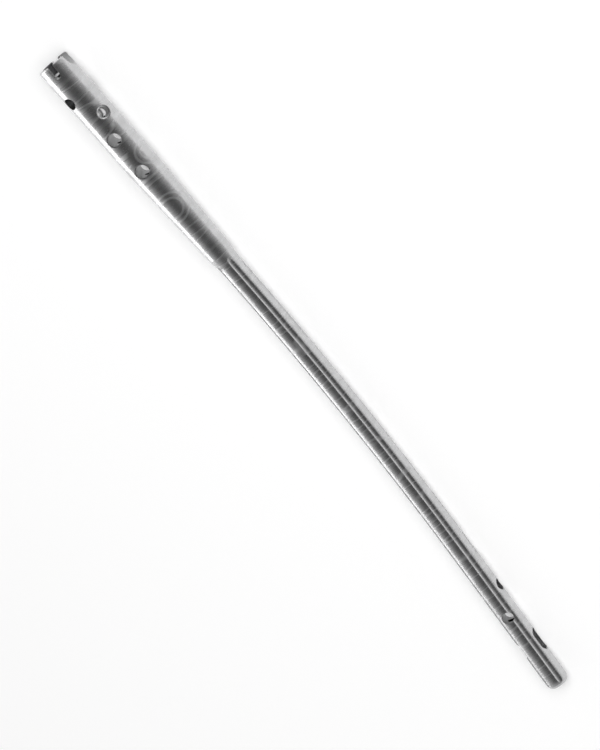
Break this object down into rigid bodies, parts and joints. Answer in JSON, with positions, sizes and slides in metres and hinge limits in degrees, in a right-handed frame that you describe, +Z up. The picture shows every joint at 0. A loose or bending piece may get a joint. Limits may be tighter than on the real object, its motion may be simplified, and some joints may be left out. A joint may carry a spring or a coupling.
{
  "type": "intramedullary nail",
  "caption": "Long slim bowed titanium nail with a thick cannulated head, fluted shaft, cross-drilled locking holes, a distal slot and a keyed proximal end.",
  "frame": {"origin": "On the axis of the nail's straight thick head, where the bore's thread starts, 5.1 mm from the flat proximal end face.", "axes": "+X runs from the thick proximal end towards the tip, within 1 degree of the head's axis. The bow's convex side faces +Y and 11.4 degrees down, and +Z is up, as the nail comes to rest on a table."},
  "size_m": [0.2999, 0.0222, 0.0139],
  "materials": {
    "titanium": "satin polished titanium alloy"
  },
  "bodies": {
    "root": {"nail": "titanium"}
  },
  "joints": []
}
